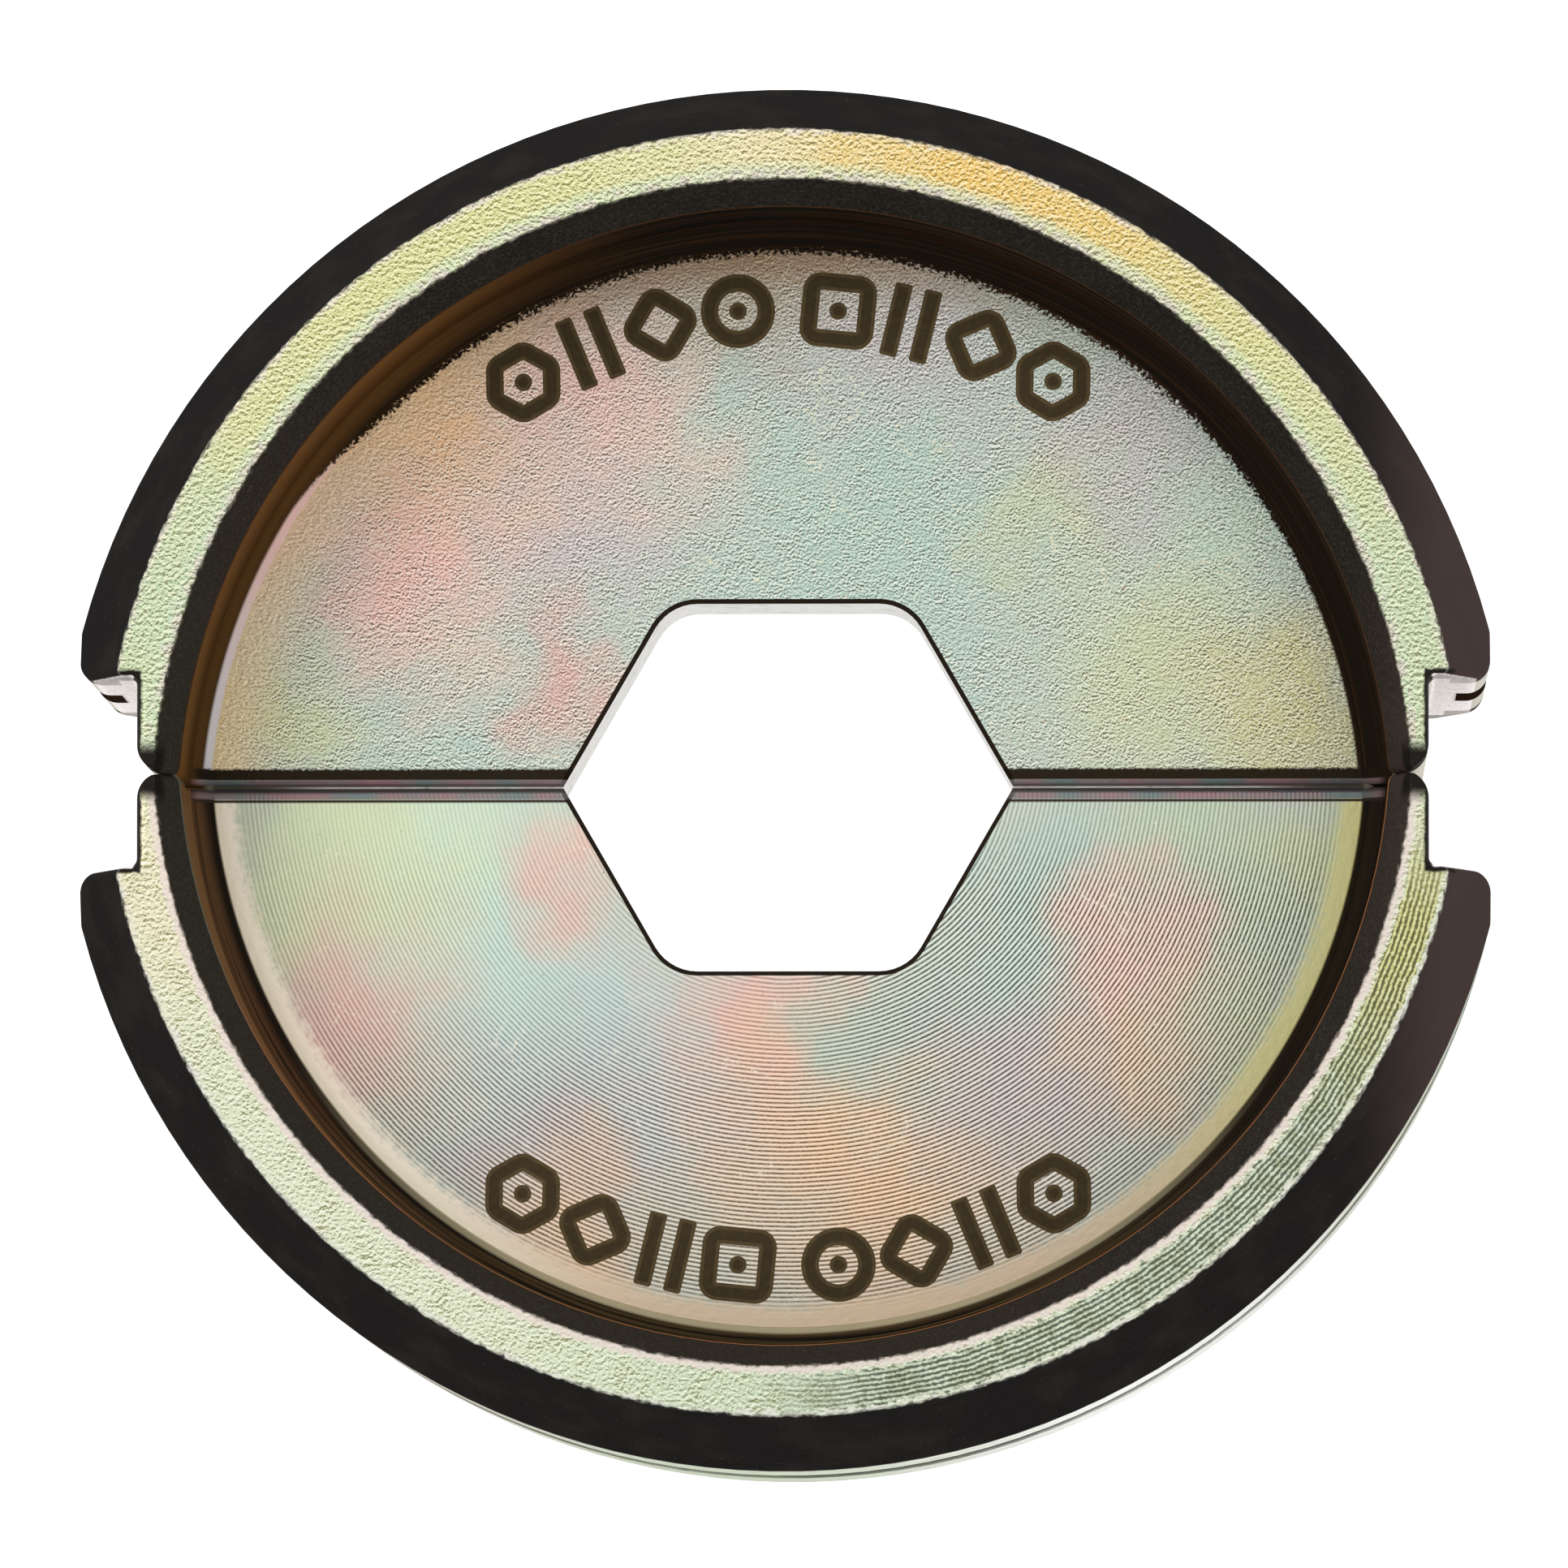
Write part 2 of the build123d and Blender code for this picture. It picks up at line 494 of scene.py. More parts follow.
def tinted(nodes, vector, base, spots):
    """Base colour with soft round spots of other tints over it: x, y, reach, strength, colour."""
    colour = srgb(*base)
    for x, y, reach, strength, tint in spots:
        away = nodes.distance(vector, (x, y, 0.0))
        share = nodes.times(nodes.fall(away, 0.0, reach * TINT_SOFTNESS), strength)
        colour = nodes.mix(share, colour, srgb(*tint))
    return colour


def laid(nodes, share, strength, colour, tint):
    """Colour with a tint laid over it where share is high."""
    return nodes.mix(nodes.times(share, strength), colour, srgb(*tint))


def wandering(nodes, place):
    """Place on the face, pushed about so that the borders of the tints wander."""
    shifts = []
    for start in (0.0, SECOND_WAVE_AT):
        wave = nodes.noise(nodes.shift(place.point, (start, 0.0, 0.0)), WANDER_SCALE, 2.0, 0.6)
        shifts.append(nodes.sway(wave, TINT_WANDER))
    return nodes.join(nodes.plus(place.x, shifts[0]), nodes.plus(place.y, shifts[1]), 0.0)


def embossed(nodes, vector, scale, step):
    """Slope of a fine grain: above 0 on the lit side of each pebble and below 0 on the other side."""
    here = nodes.noise(vector, scale, 1.0, 0.6)
    beside = nodes.noise(nodes.shift(vector, step), scale, 1.0, 0.6)
    return nodes.minus(here, beside)


def scratches(nodes, place, scale, width):
    """Short crooked scratches, in a few places only."""
    cracks = nodes.crack_distance(nodes.shift(place.point, SCRATCHES_AT), scale)
    lines = nodes.fall(cracks, width * 0.4, width)
    broken = nodes.rise(place.dust, 0.5, 0.58)
    places = nodes.rise(place.cloud, 0.56, 0.64)
    return nodes.times(lines, broken, places)


def streaks(nodes, across, fineness, bearing, change, detail):
    """Streaks that run round the axis, fine across and slow to change along."""
    place = nodes.join(nodes.times(across, fineness), nodes.times(bearing, change), 0.0)
    return nodes.noise(place, 1.0, detail)


def blasted_web(nodes, place, vector):
    """Web of the upper half: grainy, with rainbow tints, painted shade and highlight on its grain, and
    painted light and shade along its rim. Gives its colour and its relief in mm.
    """
    colour = tinted(nodes, vector, UPPER_WEB_BASE, UPPER_WEB_TINTS)
    slope = embossed(nodes, place.point, WEB_GRAIN, WEB_GRAIN_STEP)
    calm = nodes.blend(nodes.rise(place.medium, 0.35, 0.6), 0.6, 1.0)
    # Painted shade and highlight on the unlit and lit side of each pebble
    shaded = nodes.times(nodes.fall(slope, -0.14, -0.02), calm)
    bright = nodes.times(nodes.rise(slope, 0.02, 0.12), calm)
    colour = laid(nodes, nodes.rise(place.fine, 0.66, 0.74), 0.5, colour, WEB_SAND)
    colour = laid(nodes, shaded, 0.85, colour, WEB_GRAIN_SHADE)
    colour = laid(nodes, bright, 0.65, colour, WEB_GRAIN_LIGHT)
    colour = laid(nodes, scratches(nodes, place, 0.9, 0.05), 0.7, colour, WEB_SCRATCH)
    colour = laid(nodes, nodes.fall(place.fine, 0.23, 0.27), 0.8, colour, WEB_PIT)
    colour = laid(nodes, nodes.fall(place.dust, 0.25, 0.34), 0.55, colour, WEB_SMALL_PIT)
    # Painted light along the left of the rim, and painted shade along its top, near the wall
    glow = nodes.times(nodes.rise(place.radius, *UPPER_LIT_RIM), nodes.rise(place.bearing, *UPPER_PAINTED_LIGHT_SIDE))
    colour = laid(nodes, glow, 0.5, colour, UPPER_RIM_PAINTED_LIGHT)
    shade_reach = nodes.band(place.bearing, 1.2, 2.1, 0.3)
    shade = nodes.times(nodes.rise(place.radius, *UPPER_SHADED_RIM), shade_reach)
    colour = laid(nodes, shade, 0.55, colour, RIM_SHADE)
    return colour, nodes.times(nodes.noise(place.point, 7.5, 2.0), BLASTED_RELIEF)


def groove_depth(nodes, place):
    """How strongly the turned grooves show: less towards +X, the parting plane and the rim."""
    outward = nodes.times(nodes.rise(place.y, 6.0, 11.0), 0.85)
    strong = nodes.largest(nodes.fall(place.x, -5.0, 3.0), outward)
    return nodes.times(
        nodes.blend(strong, 0.4, 1.0),
        nodes.blend(nodes.rise(place.y, 0.5, 4.0), 0.35, 1.0),
        nodes.blend(nodes.fall(place.radius, *GROOVES_END), 0.12, 1.0),
        nodes.blend(nodes.rise(place.dust, 0.3, 0.6), 0.6, 1.0),
    )


def grooved_web(nodes, place, vector):
    """Web of the lower half: fine turned grooves drawn as painted shade and highlight lines, and painted
    light along its rim. Gives its colour and its relief in mm.
    """
    colour = tinted(nodes, vector, LOWER_WEB_BASE, LOWER_WEB_TINTS)
    wave = nodes.wave(place.radius, GROOVE_PITCH, nodes.times(place.medium, 1.8))
    depth = groove_depth(nodes, place)
    # Painted shade and highlight: a dark and a light line for each turned groove
    dark_line = nodes.times(nodes.fall(wave, 0.0, 0.6), depth)
    light_line = nodes.times(nodes.rise(wave, 0.55, 1.0), depth)
    colour = laid(nodes, dark_line, 0.95, colour, GROOVE_SHADE)
    colour = laid(nodes, light_line, 0.55, colour, GROOVE_LIGHT)
    colour = laid(nodes, nodes.rise(place.dust, 0.69, 0.76), 0.6, colour, DARK_DUST)
    colour = laid(nodes, nodes.fall(place.dust, 0.22, 0.3), 0.6, colour, LIGHT_DUST)
    colour = laid(nodes, scratches(nodes, place, 0.5, 0.03), 0.5, colour, FAINT_SCRATCH)
    # Painted light: the rim near the foot is painted lighter, its tint going from cream through sand to
    # yellow round the bearings
    rim_tint = nodes.mix(nodes.rise(place.bearing, 0.7, 1.4), srgb(*LOWER_RIM_PAINTED_LIGHT_CREAM), srgb(*LOWER_RIM_PAINTED_LIGHT_SAND))
    rim_tint = nodes.mix(nodes.rise(place.bearing, 2.0, 2.7), rim_tint, srgb(*LOWER_RIM_PAINTED_LIGHT_YELLOW))
    rim = nodes.calc("MULTIPLY_ADD", place.fine, 0.8, nodes.minus(place.radius, 0.15))
    colour = nodes.mix(nodes.times(nodes.rise(rim, *LOWER_RIM), 0.85), colour, rim_tint)
    pale_end = nodes.times(nodes.rise(place.radius, *LOWER_RIM_EDGE), nodes.fall(place.bearing, 0.9, 1.3))
    colour = laid(nodes, pale_end, 0.6, colour, LOWER_RIM_PAINTED_LIGHT_PALE)
    return colour, nodes.times(wave, nodes.fall(place.radius, *GROOVE_RELIEF_END), GROOVE_RELIEF)


def parting_edge(nodes, place, colour, turned):
    """Lines along the web's rounded edge at the parting plane: painted shade in dark bands, with rose and
    teal lines between them.
    """
    drift = nodes.noise(nodes.join(nodes.times(place.x, 0.4), 0.0, 0.0), 1.0, 3.0)
    tint = nodes.mix(nodes.rise(drift, 0.4, 0.6), srgb(*EDGE_ROSE), srgb(*EDGE_TEAL))
    if turned:
        colour = nodes.mix(nodes.band(place.y, 0.40, 0.50, 0.03), colour, srgb(*EDGE_SHADE_LINE))
        colour = nodes.mix(nodes.fall(place.y, 0.36, 0.42), colour, tint)
        colour = nodes.mix(nodes.fall(place.y, 0.14, 0.2), colour, srgb(*EDGE_GREY))
    else:
        ragged = nodes.plus(place.y, nodes.sway(place.dust, 0.16))
        colour = nodes.mix(nodes.fall(ragged, 0.56, 0.66), colour, srgb(*EDGE_SHADE_BROWN))
        colour = nodes.mix(nodes.fall(place.y, 0.22, 0.28), colour, tint)
    return nodes.mix(nodes.fall(place.y, 0.02, 0.06), colour, srgb(*EDGE_SHADE_BLACK))


def upper_ring(nodes, place, vector, slope, inner, edge_highlights):
    """Grainy yellow ring face of the upper half, minty along its inner edge, with painted highlights along
    its rounded edges and painted shade and highlight on its grain.
    """
    colour = tinted(nodes, vector, UPPER_RING_BASE, UPPER_RING_TINTS)
    colour = laid(nodes, nodes.fall(inner, 0.2, 0.66), 0.7, colour, UPPER_RING_MINT)
    colour = laid(nodes, edge_highlights[0], 0.85, colour, UPPER_INNER_EDGE_HIGHLIGHT)
    colour = laid(nodes, edge_highlights[1], 0.8, colour, UPPER_OUTER_EDGE_HIGHLIGHT)
    # Painted shade and highlight on the unlit and lit side of each pebble
    colour = laid(nodes, nodes.fall(slope, -0.14, -0.03), 0.75, colour, UPPER_RING_SHADE)
    colour = laid(nodes, nodes.rise(slope, 0.03, 0.13), 0.6, colour, UPPER_RING_LIGHT)
    return laid(nodes, nodes.fall(place.fine, 0.24, 0.3), 0.7, colour, UPPER_RING_PIT)


def lower_ring(nodes, place, vector, slope, inner, edge_highlights):
    """Pale stained ring face of the lower half, without its ridges, with painted highlights along its
    rounded edges and painted shade and highlight on its grain.
    """
    colour = tinted(nodes, vector, LOWER_RING_BASE, LOWER_RING_TINTS)
    # Stain blotches painted only on the unlit side of each pebble, so partly painted shade
    stains_and_shade = nodes.times(nodes.rise(place.medium, 0.48, 0.62), nodes.fall(slope, -0.1, 0.03))
    colour = laid(nodes, stains_and_shade, 0.6, colour, LOWER_RING_STAIN_AND_SHADE)
    # Painted shade and highlight on the unlit and lit side of each pebble
    colour = laid(nodes, nodes.fall(slope, -0.15, -0.04), 0.65, colour, LOWER_RING_SHADE)
    colour = laid(nodes, nodes.rise(slope, 0.04, 0.14), 0.5, colour, LOWER_RING_LIGHT)
    colour = laid(nodes, nodes.fall(inner, 0.16, 0.3), 0.75, colour, LOWER_INNER_EDGE_HIGHLIGHT)
    return laid(nodes, edge_highlights[1], 0.75, colour, LOWER_OUTER_EDGE_HIGHLIGHT)


def ridges(nodes, place, colour, along, drift, inner, outer):
    """Colour with coarse broken machining ridges over one part of the ring, drawn as dark hollows of painted
    shade and tops of painted highlight.
    """
    reach = nodes.band(nodes.plus(place.bearing, nodes.times(drift, 0.3)), RIDGES_FROM, RIDGES_TO, 0.12)
    across = nodes.times(nodes.rise(inner, 0.28, 0.36), nodes.rise(outer, 0.1, 0.18))
    ridged = nodes.times(reach, across)
    wave = nodes.wave(place.radius, RIDGE_PITCH, nodes.times(nodes.noise(along, 0.7, 3.0, 0.6), 9.0))
    beaded = nodes.plus(wave, nodes.sway(place.dust, 2.4))
    furrow_shade = nodes.times(ridged, nodes.fall(beaded, 0.3, 0.62))
    crest_highlight = nodes.times(ridged, nodes.rise(beaded, 0.85, 1.2))
    field = nodes.mix(nodes.rise(place.medium, 0.4, 0.6), srgb(*RIDGES_PALE), srgb(*RIDGES_DULL))
    field = nodes.mix(nodes.rise(place.bearing, 2.45, 2.85), field, srgb(*RIDGES_OLIVE))
    colour = nodes.mix(nodes.times(ridged, 0.9), colour, field)
    colour = laid(nodes, furrow_shade, 0.82, colour, RIDGE_FURROW_SHADE)
    return laid(nodes, crest_highlight, 0.6, colour, RIDGE_CREST_HIGHLIGHT)


def ring_colour(nodes, place, vector, turned):
    """Colour of the narrow flat face of the ring."""
    along = nodes.join(place.radius, nodes.times(place.bearing, RING_INNER_RADIUS), 0.0)
    slope = embossed(nodes, place.point, RING_GRAIN, RING_GRAIN_STEP)
    drift = nodes.sway(place.fine, 0.5)
    inner = nodes.plus(nodes.minus(place.radius, RING_INNER_RADIUS), drift)
    outer = nodes.plus(nodes.minus(RING_OUTER_RADIUS, place.radius), drift)
    patchy = nodes.rise(nodes.noise(along, 1.3, 2.0), 0.38, 0.58)
    # Painted highlights: pale bands along the rounded inner and outer edges of the ring face
    inner_highlight = nodes.times(nodes.fall(inner, 0.14, 0.34), patchy)
    gaps = nodes.minus(1.0, nodes.times(patchy, 0.6))
    outer_highlight = nodes.times(nodes.fall(outer, 0.06, 0.2), gaps)
    edge_highlights = (inner_highlight, outer_highlight)
    if turned:
        colour = lower_ring(nodes, place, vector, slope, inner, edge_highlights)
        return ridges(nodes, place, colour, along, drift, inner, outer)
    return upper_ring(nodes, place, vector, slope, inner, edge_highlights)


def wall_colour(nodes, place, turned):
    """Wall of the recess painted dark as its shade, with brown bands, and painted light on one side."""
    along = streaks(nodes, place.height, 0.9, place.bearing, 0.7, 2.0)
    colour = nodes.mix(nodes.rise(along, 0.42, 0.62), srgb(*WALL_BLACK), srgb(*WALL_BROWN))
    if turned:
        # Painted light: the lower wall turns warm and olive on one side
        warm = nodes.band(place.bearing, -0.2, 1.3, 0.6)
        towards = nodes.rise(place.bearing, 0.7, 1.7)
        glow = nodes.mix(towards, srgb(*LOWER_WALL_PAINTED_LIGHT_WARM), srgb(*LOWER_WALL_PAINTED_LIGHT_OLIVE))
        return nodes.mix(nodes.times(warm, 0.9), colour, glow)
    # Painted light: the upper wall is brown and orange on its lit side, lighter higher up
    lit = nodes.rise(place.bearing, *UPPER_LIT_SIDE)
    upward = nodes.rise(place.height, *WALL_PAINTED_LIGHT_HEIGHT)
    glow = nodes.mix(upward, srgb(*UPPER_WALL_PAINTED_LIGHT_LOW), srgb(*UPPER_WALL_PAINTED_LIGHT_HIGH))
    return nodes.mix(nodes.times(lit, 0.95), colour, glow)


def lower_foot(nodes, place, colour, lines):
    """Foot of the lower wall: painted shade, painted lighter and warmer towards one side, with a painted
    highlight band round the middle stretch.
    """
    pale = nodes.band(place.bearing, 0.9, 2.2, 0.4)
    outward = nodes.rise(place.radius, *LOWER_FOOT_WARM_FROM)
    warm = nodes.times(outward, nodes.fall(place.bearing, 1.2, 1.8))
    dark = nodes.mix(warm, srgb(*LOWER_FOOT_DARK), srgb(*LOWER_FOOT_WARM))
    dark = nodes.mix(pale, dark, srgb(*LOWER_FOOT_OLIVE))
    dark = nodes.mix(nodes.rise(lines, 0.4, 0.65), dark, srgb(*LOWER_FOOT_LINES))
    strip = nodes.times(pale, nodes.band(place.radius, FOOT_RADIUS, LOWER_STRIP_END, 0.06))
    colour = nodes.mix(nodes.rise(place.radius, *LOWER_FOOT_START), colour, dark)
    return laid(nodes, strip, 0.9, colour, LOWER_FOOT_HIGHLIGHT)


def upper_foot(nodes, place, colour, lines):
    """Foot of the upper wall: a ragged border of painted shade, painted lighter on the left, and a painted
    highlight band on the left.
    """
    left = nodes.rise(place.bearing, *UPPER_LIT_SIDE)
    outward = nodes.rise(place.radius, *UPPER_FOOT_FAR_FROM)
    bright = nodes.mix(outward, srgb(*UPPER_FOOT_NEAR), srgb(*UPPER_FOOT_FAR))
    dark = nodes.mix(left, srgb(*UPPER_FOOT_DARK), bright)
    dark = laid(nodes, nodes.rise(lines, 0.45, 0.7), 0.6, dark, UPPER_FOOT_LINES)
    fringe = nodes.times(nodes.sway(place.dust, 1.0), nodes.rise(place.bearing, *UPPER_FRINGE_SIDE))
    strip_side = nodes.rise(place.bearing, *UPPER_STRIP_SIDE)
    edge = nodes.blend(strip_side, nodes.plus(place.radius, fringe), place.radius)
    start = nodes.blend(strip_side, UPPER_FOOT_START, UPPER_FOOT_START_BY_STRIP)
    strip = nodes.times(strip_side, nodes.band(place.radius, *UPPER_STRIP_SPAN, 0.04))
    towards = nodes.rise(place.bearing, 2.6, 3.0)
    strip_tint = nodes.mix(towards, srgb(*UPPER_FOOT_HIGHLIGHT_ROSE), srgb(*UPPER_FOOT_HIGHLIGHT_WHITE))
    colour = nodes.mix(strip, colour, strip_tint)
    return nodes.mix(nodes.rise(nodes.minus(edge, start), 0.0, 0.12), colour, dark)


def web_looks(nodes, place, vector, turned):
    """Web with its foot and its edges, with their painted light and shade. Gives its colour and its relief
    in mm.
    """
    colour, relief = (grooved_web if turned else blasted_web)(nodes, place, vector)
    lines = streaks(nodes, place.radius, 11.0, place.bearing, 1.5, 2.0)
    colour = (lower_foot if turned else upper_foot)(nodes, place, colour, lines)
    # Painted shade on the sloping edge round the cavity, found by the way the surface faces
    rim = nodes.times(nodes.fall(place.facing_z, 0.84, 0.93), nodes.fall(place.radius, *CAVITY_RIM_END))
    colour = nodes.mix(rim, colour, srgb(*CAVITY_RIM_SHADE))
    on_web = nodes.fall(place.across, FOOT_RADIUS + 0.4, WALL_RADIUS)
    return nodes.mix(on_web, colour, parting_edge(nodes, place, colour, turned)), relief


def taper_colour(nodes, place, turned):
    """Tapers painted near-black as the dark reflection their steep faces show, warmer on the inner one and
    redder at the right end.
    """
    colour = nodes.mix(nodes.rise(place.cloud, 0.4, 0.7), srgb(*TAPER_BLACK), srgb(*TAPER_PATCH_DARK_GREY))
    inside = nodes.fall(place.radius, *INNER_TAPER_END)
    if turned:
        warmth = nodes.blend(nodes.rise(place.bearing, 1.6, 2.4), 0.85, 0.5)
    else:
        warmth = nodes.blend(nodes.rise(place.bearing, 2.0, 2.8), 0.35, 0.8)
    colour = nodes.mix(nodes.times(inside, warmth), colour, srgb(*TAPER_WARM))
    grain = nodes.times(inside, nodes.rise(place.dust, 0.42, 0.66))
    colour = laid(nodes, grain, 0.6, colour, TAPER_GRAIN)
    colour = laid(nodes, nodes.rise(place.dust, 0.68, 0.76), 0.35, colour, TAPER_SPECK)
    return laid(nodes, nodes.rise(place.to_right, *RED_END_X), 0.55, colour, TAPER_RIGHT_END)


def edge_highlight_colour(nodes, place, turned):
    """Painted highlight: thin line where the inner taper meets the wall."""
    if turned:
        turn = nodes.rise(place.bearing, *COPPER_HIGHLIGHT_SIDE)
        return nodes.mix(turn, srgb(*TAPER_EDGE_HIGHLIGHT_TEAL), srgb(*TAPER_EDGE_HIGHLIGHT_COPPER))
    return srgb(*TAPER_EDGE_HIGHLIGHT_BROWN)


def outside_colour(nodes, place, vector):
    """Bright plated outside, with fine turning lines and faint tints."""
    lines = streaks(nodes, place.height, 9.0, place.bearing, 3.0, 3.0)
    colour = tinted(nodes, vector, OUTSIDE_BASE, OUTSIDE_TINTS)
    colour = laid(nodes, nodes.fall(lines, 0.35, 0.55), 0.45, colour, TURNING_SHADE)
    colour = laid(nodes, nodes.rise(lines, 0.55, 0.7), 0.35, colour, TURNING_LIGHT)
    return laid(nodes, nodes.rise(place.medium, 0.55, 0.75), 0.5, colour, OUTSIDE_STAIN)


def bare_colour(nodes, place):
    """Bare steel of the cavity, painted near-white towards the middle as the light it catches, duller on the
    sides further out.
    """
    colour = nodes.mix(nodes.rise(place.radius, *BARE_FROM_CAVITY), srgb(*BARE_PAINTED_LIGHT_WHITE), srgb(*BARE_GREY))
    colour = laid(nodes, nodes.rise(place.medium, 0.5, 0.75), 0.5, colour, BARE_STAIN)
    return laid(nodes, nodes.fall(place.fine, 0.3, 0.36), 0.5, colour, BARE_PIT)


def end_face_colour(nodes, place):
    """Whitish end faces of the flanges, with dark specks."""
    colour = laid(nodes, nodes.fall(place.dust, 0.34, 0.42), 0.7, srgb(*END_WHITE), END_PIT)
    return laid(nodes, nodes.rise(place.medium, 0.55, 0.7), 0.5, colour, END_ROSE)


def web_share(nodes, place):
    """1 on both faces of the web."""
    return nodes.times(
        nodes.rise(place.height, HALF_WEB - 0.34, HALF_WEB - 0.3),
        nodes.fall(place.height, HALF_WEB + 0.9, HALF_WEB + 0.95),
        nodes.fall(place.radius, WALL_RADIUS - 0.06, WALL_RADIUS - 0.02),
        nodes.rise(place.facing_z, 0.35, 0.5),
    )


def wall_share(nodes, place):
    """1 on the wall of the recess."""
    return nodes.times(
        nodes.fall(place.radius, WALL_RADIUS + 0.1, WALL_RADIUS + 0.2),
        nodes.rise(place.radius, FOOT_RADIUS, FOOT_RADIUS + 0.1),
        nodes.fall(place.height, INNER_TAPER_LOW_HEIGHT + 0.05, INNER_TAPER_LOW_HEIGHT + 0.1),
        nodes.rise(place.height, HALF_WEB, HALF_WEB + 0.1),
    )


def taper_share(nodes, place):
    """1 on the tapers either side of the ring face."""
    inside = nodes.times(
        nodes.rise(place.height, TAPER_LOW_HEIGHT - 0.1, TAPER_LOW_HEIGHT + 0.05),
        nodes.rise(place.radius, WALL_RADIUS - 0.05, WALL_RADIUS),
        nodes.rise(place.height, INNER_TAPER_LOW_HEIGHT - 0.02, INNER_TAPER_LOW_HEIGHT + 0.02),
    )
    outside = nodes.times(
        nodes.rise(place.radius, RING_OUTER_RADIUS, RING_OUTER_RADIUS + 0.1),
        nodes.rise(place.height, TAPER_LOW_HEIGHT - 0.06, TAPER_LOW_HEIGHT + 0.06),
    )
    return nodes.largest(inside, outside)


def ring_share(nodes, place):
    """1 on the flat face of the ring, with ragged borders."""
    ragged = nodes.plus(place.radius, nodes.sway(place.fine, 0.3))
    near_top = nodes.rise(place.height, HALF_THICKNESS - 0.3, HALF_THICKNESS - 0.08)
    return nodes.times(nodes.band(ragged, RING_INNER_RADIUS, RING_OUTER_RADIUS + 0.02, 0.07), near_top)


def edge_highlight_share(nodes, place):
    """1 on the painted highlight line where the inner taper meets the wall."""
    low = INNER_TAPER_LOW_HEIGHT - 0.06
    high = INNER_TAPER_LOW_HEIGHT + 0.07
    near_wall = nodes.fall(place.radius, WALL_RADIUS + 0.15, WALL_RADIUS + 0.2)
    return nodes.times(nodes.band(place.height, low, high, 0.03), near_wall)


def groove_share(nodes, place):
    """1 in the retaining groove, which is painted dark brown as shade inside the slot."""
    return nodes.times(
        nodes.rise(place.radius, GROOVE_BOTTOM_RADIUS - 0.1, GROOVE_BOTTOM_RADIUS - 0.02),
        nodes.fall(place.radius, OUTER_RADIUS - 0.15, OUTER_RADIUS - 0.02),
        nodes.fall(place.height, HALF_GROOVE + 0.01, HALF_GROOVE + 0.05),
    )


def outside_share(nodes, place):
    """1 on the outside between its tapers, and on the side flats."""
    round_part = nodes.times(
        nodes.rise(place.radius, OUTER_RADIUS - 0.12, OUTER_RADIUS - 0.06),
        nodes.fall(place.height, TAPER_LOW_HEIGHT - 0.06, TAPER_LOW_HEIGHT + 0.06),
    )
    flats = nodes.times(nodes.rise(place.across, *SIDE_FLAT_START), nodes.rise(place.facing_x, 0.9, 0.98))
    return nodes.largest(round_part, flats)


def end_share(nodes, place):
    """1 where the ends of the ring face and the bands along the notches are painted dark as the shade of
    their rounded edges.
    """
    wavy = nodes.sway(place.fine, 0.12)
    forward = nodes.plus(place.y, wavy)
    sideways = nodes.plus(place.across, wavy)
    beside_notch = nodes.times(
        nodes.fall(forward, FLANGE_GAP + 0.14, FLANGE_GAP + 0.26),
        nodes.rise(sideways, NOTCH_WALL_X - 0.2, NOTCH_WALL_X - 0.1),
    )
    tip = nodes.fall(forward, 0.55, 1.15)
    return nodes.times(nodes.largest(tip, beside_notch), nodes.rise(place.height, *DARK_END_HEIGHT))


def end_face_share(nodes, place):
    """1 on the end faces of the flanges."""
    from_face = nodes.size(nodes.minus(place.y, FLANGE_GAP))
    return nodes.times(
        nodes.rise(place.facing_y, 0.6, 0.8),
        nodes.rise(place.across, NOTCH_WALL_X - 0.05, NOTCH_WALL_X),
        nodes.fall(from_face, 0.03, 0.06),
    )


